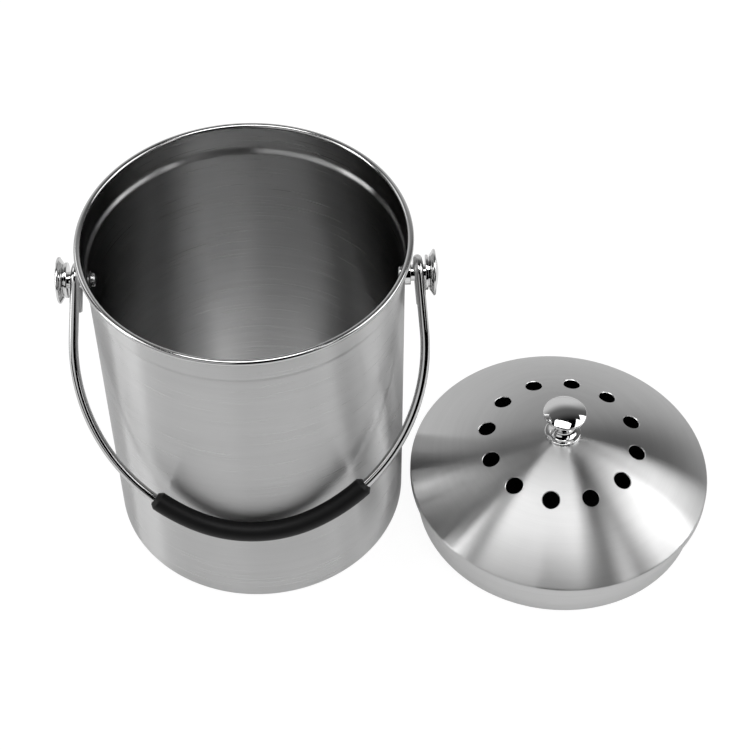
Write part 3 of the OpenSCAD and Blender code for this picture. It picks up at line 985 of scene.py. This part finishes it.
# %% Grip
def draw_in_end(piece, angle, side):
    """Draws the grip's outer circle in at one end, which leaves the chamfer's slope behind it."""
    bpy.ops.mesh.select_all(action="DESELECT")
    bpy.ops.object.mode_set(mode="OBJECT")
    centre = side_point(angle, side) * MM
    bend = Vector((side * SIDE_X, -EYE_R, SIDE_Z)) * MM
    along = (centre - bend).cross(Vector((0, 1, 0))).normalized()
    for v in piece.data.vertices:
        out = v.co - centre
        in_ring = abs(out.dot(along)) < ON_RING * MM
        v.select = in_ring and abs(out.length - GRIP_R * MM) < ON_RING * MM
    bpy.ops.object.mode_set(mode="EDIT")
    share = 1 - CHAMFER_D / GRIP_R
    bpy.ops.transform.resize(value=(share,) * 3, center_override=centre)


def bevel_edges(piece):
    """Rounds every sharp edge of a piece."""
    make_active(piece)
    bpy.ops.object.modifier_add(type="BEVEL")
    bevel = piece.modifiers[-1]
    bevel.width = EDGE_BEVEL_W * MM
    bevel.segments = EDGE_BEVEL_STEPS
    bevel.limit_method = "ANGLE"
    bevel.angle_limit = math.radians(EDGE_BEVEL_ANGLE)
    bpy.ops.object.modifier_apply(modifier=bevel.name)


def make_grip():
    left, right = grip_ends()
    chamfer = CHAMFER_L / SIDE_R
    tilt = MID_A - math.pi / 2 + left
    grip = bar_end("bail_grip_sleeve", GRIP_R, side_point(left, -1), tilt, 48)
    bpy.ops.mesh.extrude_region_move()
    share = GRIP_BORE_R / GRIP_R
    bpy.ops.transform.resize(value=(share,) * 3, center_override=side_point(left, -1) * MM)
    bpy.ops.mesh.select_all(action="SELECT")
    spin_on((-SIDE_X, -EYE_R, SIDE_Z), chamfer, 1)
    spin_on((-SIDE_X, -EYE_R, SIDE_Z), left - chamfer, 10)
    spin_on((0, -EYE_R, MID_Z), 2 * MID_A, 32)
    spin_on((SIDE_X, -EYE_R, SIDE_Z), right - chamfer, 12)
    spin_on((SIDE_X, -EYE_R, SIDE_Z), chamfer, 1)
    draw_in_end(grip, left, -1)
    draw_in_end(grip, right, 1)
    close_up()
    bevel_edges(grip)
    hang(grip)
    return finish_piece(grip, "bail_grip", grip_plastic)


make_grip()

# %% [markdown]
# ## Lid
#
# The lid's cover is spun from one sheet: a shallow dome, a small round, an upright hem and a folded edge
# that grips the flange of the skirt. Its twelve vents are punched. Each vent's cutter is a turned punch,
# flared where the sheet's edge is broken, and leans with the dome, so that all rims look alike.

# %% Lid outline
hem_low, hem_high = box_mm("lid_cover")
HEM_R = (hem_high.x - hem_low.x) / 2
HEM_Z = hem_low.z
HEM_H = 6.1
HEM_ROUND = 2
DOME_RISE = 35.2
DOME_BALL = (HEM_R**2 + DOME_RISE**2) / (2 * DOME_RISE)
DOME_Z = HEM_Z + HEM_H + DOME_RISE - DOME_BALL
DOME_STEPS = 56
SKIRT_GAP = 0.6
SKIRT_R = WALL_R - SHEET - SKIRT_GAP
FOLD_GAP = 0.05
KNOB_HOLE_R = 2.65


def dome_height(radius, ball=DOME_BALL):
    """The dome's height at a radius, on the ball of its outside or of its inside."""
    return DOME_Z + math.sqrt(ball**2 - radius**2)


def cover_side(inset):
    """The dome from the knob's hole down to the hem, and the hem, on the sheet's outside or inside."""
    ball = DOME_BALL - inset
    round_r = HEM_ROUND - inset
    centre_r = HEM_R - HEM_ROUND
    centre_z = DOME_Z + math.sqrt((DOME_BALL - HEM_ROUND) ** 2 - centre_r**2)
    slope = math.degrees(math.atan2(centre_z - DOME_Z, centre_r))
    top = math.degrees(math.acos(KNOB_HOLE_R / ball))
    crown = arc((0, DOME_Z), ball, top, slope, DOME_STEPS)
    return crown[:-1] + arc((centre_r, centre_z), round_r, slope, 0, 8)


def cover_outline():
    """Down the outside, round the fold under the flange, and back up the inside."""
    inner = HEM_R - SHEET
    fold = arc((inner, HEM_Z + SHEET), SHEET, 0, -90, 4)
    lip_r = SKIRT_R + FOLD_GAP
    lip = [(lip_r, HEM_Z), (lip_r, HEM_Z + SHEET), (inner, HEM_Z + SHEET)]
    outline = cover_side(0) + fold + lip + cover_side(SHEET)[::-1]
    return outline + outline[:1]


print(f"lid: hem {HEM_R:.1f} mm, dome ball {DOME_BALL:.1f} mm, top at {dome_height(0):.1f} mm")

# %% [markdown]
# The punch is stretched a little along the slope, because each vent shows as a round hole from above.
# The flared faces get the rougher steel of a deburred rim, with a lighter grey as a painted highlight.
# They are found near the ring of vents, by their lean: the sheet's own faces look straight out of the
# dome, and the holes' walls look along it.

# %% Lid cover
VENT_N = 12
VENT_R = 5
VENT_EASE = 0.2
VENT_FLARE = 0.5
VENT_RING_R = 47.1
VENT_TURN = 16.6
PUNCH_L = 6
PUNCH_LIFT = 0.02
RIM_LEAN = (0.2, 0.97)


def vent_punch():
    """A punch for one vent, flared at the sheet's face, leaning with the dome."""
    hole_r = VENT_R + VENT_EASE
    face = DOME_BALL
    lean = math.asin(VENT_RING_R / DOME_BALL)
    punch = turn(
        "vent_punch",
        [(POLE, face - PUNCH_L), (hole_r, face - PUNCH_L), (hole_r, face - VENT_FLARE)]
        + [(hole_r + VENT_FLARE, face + PUNCH_LIFT), (hole_r + 2 * VENT_FLARE, face + VENT_FLARE)]
        + [(POLE, face + VENT_FLARE)],
        64,
    )
    make_active(punch)
    punch.scale = (1 / math.cos(lean), 1, 1)
    bpy.ops.object.transform_apply()
    return place(punch, (0, 0, DOME_Z), (0, math.degrees(lean), 0))


def give_vent_rims_painted_highlight(cover):
    """Gives the vents' flared rims the rougher steel of a deburred edge, whose lighter grey is a painted
    highlight.
    """
    cover.data.materials.append(rim_steel_painted_highlight)
    ball_centre = Vector((*LID_AXIS[:2], DOME_Z)) * MM
    for face in cover.data.polygons:
        off_axis = (face.center.xy - ball_centre.xy).length / MM
        outwards = (face.center - ball_centre).normalized()
        near = abs(off_axis - VENT_RING_R) < VENT_R + VENT_EASE + 2 * VENT_FLARE
        if near and RIM_LEAN[0] < face.normal.dot(outwards) < RIM_LEAN[1]:
            face.material_index = 1


def make_cover():
    cover = turn("lid_dome", cover_outline(), 288)
    combine(cover, ring_of(vent_punch(), VENT_N, VENT_TURN), "DIFFERENCE")
    place(cover, LID_AXIS)
    finish_piece(cover, "lid_cover", lid_steel)
    give_vent_rims_painted_highlight(cover)
    return cover


make_cover()

# %% [markdown]
# ## Skirt
#
# The skirt is a rolled and welded band that fits inside the pail's mouth. Its flange is caught in the
# folded hem. It is a closed outline again, with the bare edge at its foot broken.

# %% Lid skirt
SKIRT_EDGE = 0.15


def make_skirt():
    inner = SKIRT_R - SHEET
    flange_z = HEM_Z + SHEET
    flange_r = HEM_R - SHEET - FOLD_GAP
    outline = [
        (inner, SKIRT_EDGE),
        (inner + SKIRT_EDGE, 0),
        (SKIRT_R - SKIRT_EDGE, 0),
        (SKIRT_R, SKIRT_EDGE),
        (SKIRT_R, flange_z),
        (flange_r, flange_z),
        (flange_r, flange_z + SHEET),
        (inner, flange_z + SHEET),
        (inner, SKIRT_EDGE),
    ]
    skirt = place(turn("lid_skirt_band", outline), LID_AXIS)
    return finish_piece(skirt, "lid_skirt", lid_steel)


make_skirt()

# %% [markdown]
# ## Knob
#
# The knob is turned from one bar and polished: a base flange that sits on the dome, a waisted neck, and a
# cap whose rounded edge runs into a shallow dome. The dome starts with the slope at which the edge ends,
# so no line shows where they meet. A hole from below takes the screw.

# %% Knob
KNOB_BASE_R, KNOB_BASE_T = 11.3, 1.8
KNOB_WAIST_R, KNOB_WAIST_AT = 5.3, 0.55
KNOB_COLLAR_R = 6.85
KNOB_FOOT_SHARE = 0.8
KNOB_NECK_H = 13.8
KNOB_NECK_STEPS = 20
KNOB_H = 23.3
KNOB_CAP_R = 13.4
KNOB_EDGE_R = 1
KNOB_EDGE_FROM = -53
KNOB_EDGE_MEETS_DOME = 60
KNOB_TAP_R, KNOB_TAP_SPARE = 2.55, 0.5
washer_low, washer_high = box_mm("knob_washer")
knob_screw_low, knob_screw_high = box_mm("knob_screw")


def neck_radius(height):
    """Wide at both ends and narrow at the waist."""
    waist = KNOB_WAIST_AT * KNOB_NECK_H
    if height < waist:
        foot = (waist - height) / (waist - KNOB_BASE_T)
        return KNOB_WAIST_R + (KNOB_FOOT_SHARE * KNOB_BASE_R - KNOB_WAIST_R) * foot**3
    top = (height - waist) / (KNOB_NECK_H - waist)
    return KNOB_WAIST_R + (KNOB_COLLAR_R - KNOB_WAIST_R) * top**2


def knob_cap(top):
    """The cap's outline, from under its edge to the middle of its dome."""
    meets = math.radians(KNOB_EDGE_MEETS_DOME)
    edge_x = KNOB_CAP_R - KNOB_EDGE_R
    dome_r = edge_x + KNOB_EDGE_R * math.cos(meets)
    rise = dome_r * math.tan((math.pi / 2 - meets) / 2)
    edge_z = top - rise - KNOB_EDGE_R * math.sin(meets)
    edge = arc((edge_x, edge_z), KNOB_EDGE_R, KNOB_EDGE_FROM, KNOB_EDGE_MEETS_DOME, 20)
    return edge + dome(dome_r, top - rise, rise, 20)[1:]


def make_knob():
    base_z = dome_height(KNOB_BASE_R)
    rise = (KNOB_NECK_H - KNOB_BASE_T) / KNOB_NECK_STEPS
    neck = [KNOB_BASE_T + rise * i for i in range(KNOB_NECK_STEPS + 1)]
    tap_end = knob_screw_high.z + KNOB_TAP_SPARE
    round_r = KNOB_BASE_T / 2
    outline = (
        [(POLE, tap_end), (KNOB_TAP_R, tap_end), (KNOB_TAP_R, dome_height(0)), (KNOB_BASE_R, base_z)]
        + arc((KNOB_BASE_R - round_r, base_z + round_r), round_r, 0, 90, 6)
        + [(neck_radius(h), base_z + h) for h in neck]
        + knob_cap(base_z + KNOB_H)
    )
    knob = place(turn("lid_knob_polished", outline, 192), LID_AXIS)
    return finish_piece(knob, "lid_knob", polished_steel)


make_knob()

# %% [markdown]
# The knob's screw comes from below. It goes through a stamped washer, whose upper side follows the inside
# of the dome.

# %% Knob's washer and screw
KNOB_SHANK_R = 2.5
KNOB_TIP_CUT = 0.5


def make_washer():
    radius = (washer_high.x - washer_low.x) / 2
    low = washer_low.z
    tops = (radius, 0.7 * radius, 0.5 * radius, KNOB_HOLE_R)
    top = [(r, dome_height(r, DOME_BALL - SHEET)) for r in tops]
    outline = [(KNOB_HOLE_R, low), (radius, low)] + top + [(KNOB_HOLE_R, low)]
    washer = place(turn("knob_washer_stamped", outline, 64), LID_AXIS)
    return finish_piece(washer, "knob_washer", fastener_steel)


def make_knob_screw():
    screw = pan_head_screw(
        "knob_screw_turned",
        (knob_screw_high.x - knob_screw_low.x) / 2,
        knob_screw_low.z,
        washer_low.z,
        KNOB_SHANK_R,
        knob_screw_high.z,
        KNOB_TIP_CUT,
    )
    place(screw, LID_AXIS)
    return finish_piece(screw, "knob_screw", fastener_steel)


make_washer()
make_knob_screw()

# %% [markdown]
# ## Filter and retainer
#
# The charcoal filter is a loose round of foam, cut with a soft edge. Its faces are rumpled a little with a
# cloud texture that only presses them in, so that it keeps its size.

# %% Filter
filter_low, filter_high = box_mm("charcoal_filter")
FILTER_R = (filter_high.x - filter_low.x) / 2
FILTER_ROUND = 1.2
FILTER_RINGS = 40
RUMPLE_W = 9
RUMPLE_DEPTH = 0.5


def make_filter():
    grid = [FILTER_R * i / FILTER_RINGS for i in range(1, FILTER_RINGS - 1)]
    edge_x = FILTER_R - FILTER_ROUND
    outline = (
        [(POLE, filter_low.z)]
        + [(r, filter_low.z) for r in grid]
        + arc((edge_x, filter_low.z + FILTER_ROUND), FILTER_ROUND, -90, 0, 4)
        + arc((edge_x, filter_high.z - FILTER_ROUND), FILTER_ROUND, 0, 90, 4)
        + [(r, filter_high.z) for r in grid[::-1]]
        + [(POLE, filter_high.z)]
    )
    foam = place(turn("charcoal_round", outline, 144), LID_AXIS)
    clouds = bpy.data.textures.new("foam_rumple", "CLOUDS")
    clouds.noise_scale = RUMPLE_W * MM
    make_active(foam)
    bpy.ops.object.modifier_add(type="DISPLACE")
    press = foam.modifiers[-1]
    press.texture = clouds
    press.texture_coords = "LOCAL"
    press.strength = RUMPLE_DEPTH * MM
    press.mid_level = 1
    bpy.ops.object.modifier_apply(modifier=press.name)
    return finish_piece(foam, "charcoal_filter", charcoal_felt)


make_filter()

# %% [markdown]
# The retainer is one moulding: a ring with ribs that grip the skirt, and six spokes to a hub. The spokes
# and ribs are modelled once, copied round, and joined on with Booleans. Each bar starts and ends inside
# the walls that it joins, so that the Boolean has no faces that only touch.

# %% Retainer
ring_low, ring_high = box_mm("filter_retainer")
RIB_N, RIB_W, RIB_H = 12, 2, 0.4
RETAINER_R = (ring_high.x - ring_low.x) / 2 - RIB_H
RETAINER_WALL = 1.6
SPOKE_N, SPOKE_W, SPOKE_T = 6, 5, 2
HUB_R, HUB_WALL = 22, 4


def bar_along_x(name, start, end, width, low, high):
    """A bar from one radius to another, as wide and high as it says."""
    deselect()
    centre = Vector(((start + end) / 2, 0, (low + high) / 2)) * MM
    bpy.ops.mesh.primitive_cube_add(size=MM, location=centre)
    bar = bpy.context.object
    bar.name = name
    bar.scale = (end - start, width, high - low)
    bpy.ops.object.transform_apply()
    return bar


def closed_band(inner, outer, low, high):
    """The outline of a flat ring or a short tube."""
    return [(inner, low), (outer, low), (outer, high), (inner, high), (inner, low)]


def make_retainer():
    inner = RETAINER_R - RETAINER_WALL
    low, high = ring_low.z, ring_high.z
    spoke_low = high - SPOKE_T
    ring = turn("filter_retainer_moulded", closed_band(inner, RETAINER_R, low, high))
    hub = turn("hub", closed_band(HUB_R - HUB_WALL, HUB_R, spoke_low, high), 96)
    retainer = join([ring, hub])
    spoke = bar_along_x("spoke", HUB_R - HUB_WALL / 2, inner + RETAINER_WALL / 2, SPOKE_W, spoke_low, high)
    rib = bar_along_x("rib", RETAINER_R - RETAINER_WALL / 2, RETAINER_R + RIB_H, RIB_W, low, high)
    combine(retainer, ring_of(spoke, SPOKE_N), "UNION")
    combine(retainer, ring_of(rib, RIB_N), "UNION")
    place(retainer, LID_AXIS)
    return finish_piece(retainer, "filter_retainer", retainer_plastic)


make_retainer()

# %% [markdown]
# ## Floor and light
#
# The caddy stands on a sheet of white paper. To the camera the paper glows almost white by itself, and
# the lamps add a little and leave a faint shadow. In gloss it glows less, so that the steel near the floor
# shows the shadow's shape. To all other light it is plain white paper. Light Path tells these apart, so
# the white costs the steel no extra light.

# %% Floor
FLOOR_SIZE = 12
PAPER = "#EEEEEE"
VIEW_GLOW, VIEW_PAPER = 0.93, "#6C6C6C"
GLOSS_GLOW, GLOSS_PAPER = 0.45, "#BCBCBC"


def lit_paper(tree, glow, shade):
    """Paper that glows by itself, and is lit and shaded by the lamps over that."""
    light = add_node(tree, "ShaderNodeEmission", {"Color": srgb("#FFFFFF"), "Strength": glow}).outputs[0]
    matt = add_node(tree, "ShaderNodeBsdfDiffuse", {"Color": srgb(shade)}).outputs[0]
    return add_node(tree, "ShaderNodeAddShader", {0: light, 1: matt}).outputs[0]


def white_floor():
    """White to the camera and through glass, less so in gloss, and white paper to the lamps."""
    material = new_material("white_paper")
    tree = material.node_tree
    paths = add_node(tree, "ShaderNodeLightPath").outputs
    seen = add_node(
        tree,
        "ShaderNodeMath",
        {0: paths["Is Camera Ray"], 1: paths["Is Transmission Ray"]},
        operation="MAXIMUM",
    ).outputs[0]
    plain = add_node(tree, "ShaderNodeBsdfDiffuse", {"Color": srgb(PAPER)}).outputs[0]
    in_gloss = lit_paper(tree, GLOSS_GLOW, GLOSS_PAPER)
    in_view = lit_paper(tree, VIEW_GLOW, VIEW_PAPER)
    unseen = add_node(
        tree, "ShaderNodeMixShader", {0: paths["Is Glossy Ray"], 1: plain, 2: in_gloss}
    ).outputs[0]
    paper = add_node(tree, "ShaderNodeMixShader", {0: seen, 1: unseen, 2: in_view}).outputs[0]
    add_node(tree, "ShaderNodeOutputMaterial", {"Surface": paper})
    return material


deselect()
bpy.ops.mesh.primitive_plane_add(size=FLOOR_SIZE)
floor = bpy.context.object
floor.name = "floor"
floor.data.materials.append(white_floor())
print("floor:", FLOOR_SIZE, "m square")

# %% [markdown]
# Bright steel looks like what it mirrors, so the room matters as much as the lamps. Only the camera sees a
# white world. To all else the world is a dim room with a large paper screen behind the caddy, which fades
# softly towards its sides and its top. The steel that faces it shows even greys, and the rest goes dark
# between the lamps. How far a direction faces the screen is the dot product of the two.

# %% World
ROOM_GLOW = 0.13
ROOM_FADE = (-0.05, 0.5)
SCREEN_GLOW = 0.6
SCREEN_WAY = (-0.17, 0.98, 0)
SCREEN_SIDES = (0.45, 0.85)
SCREEN_TOP = (0.97, 0.4)


def studio_world():
    """White to the camera, and a dim room with a paper screen to all else."""
    made = bpy.data.worlds.new("studio")
    made.use_nodes = True
    tree = made.node_tree
    tree.nodes.clear()
    way = add_node(tree, "ShaderNodeTexCoord").outputs["Generated"]
    facing = add_node(
        tree, "ShaderNodeVectorMath", {0: way, 1: SCREEN_WAY}, operation="DOT_PRODUCT"
    ).outputs["Value"]
    height = add_node(tree, "ShaderNodeSeparateXYZ", {0: way}).outputs["Z"]
    sides, top, room = [
        add_node(
            tree,
            "ShaderNodeMapRange",
            {"Value": value, "From Min": dark, "From Max": bright},
            interpolation_type="SMOOTHSTEP",
        ).outputs[0]
        for value, (dark, bright) in ((facing, SCREEN_SIDES), (height, SCREEN_TOP), (facing, ROOM_FADE))
    ]
    screen = add_node(tree, "ShaderNodeMath", {0: sides, 1: top}, operation="MULTIPLY").outputs[0]
    dim = add_node(tree, "ShaderNodeBackground", {"Color": room, "Strength": ROOM_GLOW}).outputs[0]
    lit = add_node(tree, "ShaderNodeBackground", {"Color": screen, "Strength": SCREEN_GLOW}).outputs[0]
    studio = add_node(tree, "ShaderNodeAddShader", {0: dim, 1: lit}).outputs[0]
    white = add_node(tree, "ShaderNodeBackground", {"Color": srgb("#FFFFFF"), "Strength": 1.0}).outputs[0]
    seen = add_node(tree, "ShaderNodeLightPath").outputs["Is Camera Ray"]
    shown = add_node(tree, "ShaderNodeMixShader", {0: seen, 1: studio, 2: white}).outputs[0]
    add_node(tree, "ShaderNodeOutputWorld", {"Surface": shown})
    return made


bpy.context.scene.world = studio_world()
print("world: room", ROOM_GLOW, "and screen", SCREEN_GLOW)

# %% [markdown]
# The lamps are soft boxes and cards on a ring round the caddy, as in a product studio. The two on the
# right make the bright sector of the lid and the bright right side of the wall, and the ones on the left
# the band at the wall's left. The narrow strips make the thin streaks between them. The box overhead
# lights the inside, and it is the white patch in the knob. No lamp shows itself to the camera.

# %% Lamps
STUDIO = (0.14, -0.01, 0.06)
LAMP_AWAY = 1.8
LAMPS = {
    "right_box": (98, 39, 0.90, 1.24, 6.8),
    "right_card": (78, 33, 0.90, 0.74, 7.7),
    "overhead_box": (200, 80, 1.38, 0.63, 13.0),
    "left_back_card": (302, 34, 0.54, 0.86, 3.6),
    "left_box": (256, 25, 0.44, 1.53, 8.4),
    "left_strip": (268, 25, 0.19, 1.53, 14.0),
    "front_left_card": (220, 28, 1.60, 0.86, 2.3),
    "front_right_strip": (133, 38, 0.28, 1.03, 4.7),
    "front_right_tube": (144, 50, 0.13, 0.44, 3.0),
}


def soft_box(name, heading, height, wide, tall, glow):
    """A rectangular lamp that faces the caddy. Its place is a heading, clockwise from straight behind,
    and a height over the floor, both in degrees. Its glow is in watts for each square metre."""
    light = bpy.data.lights.new(name, "AREA")
    light.shape = "RECTANGLE"
    light.size, light.size_y = wide, tall
    light.energy = glow * wide * tall
    lamp = bpy.data.objects.new(name, light)
    turned, raised = math.radians(heading), math.radians(height)
    level = math.cos(raised)
    way = Vector((math.sin(turned) * level, math.cos(turned) * level, math.sin(raised)))
    lamp.location = Vector(STUDIO) + LAMP_AWAY * way
    lamp.rotation_mode = "QUATERNION"
    lamp.rotation_quaternion = way.to_track_quat("Z", "Y")
    lamp.visible_camera = False
    bpy.context.scene.collection.objects.link(lamp)


for name, settings in LAMPS.items():
    soft_box(name, *settings)
print("lamps:", list(LAMPS))
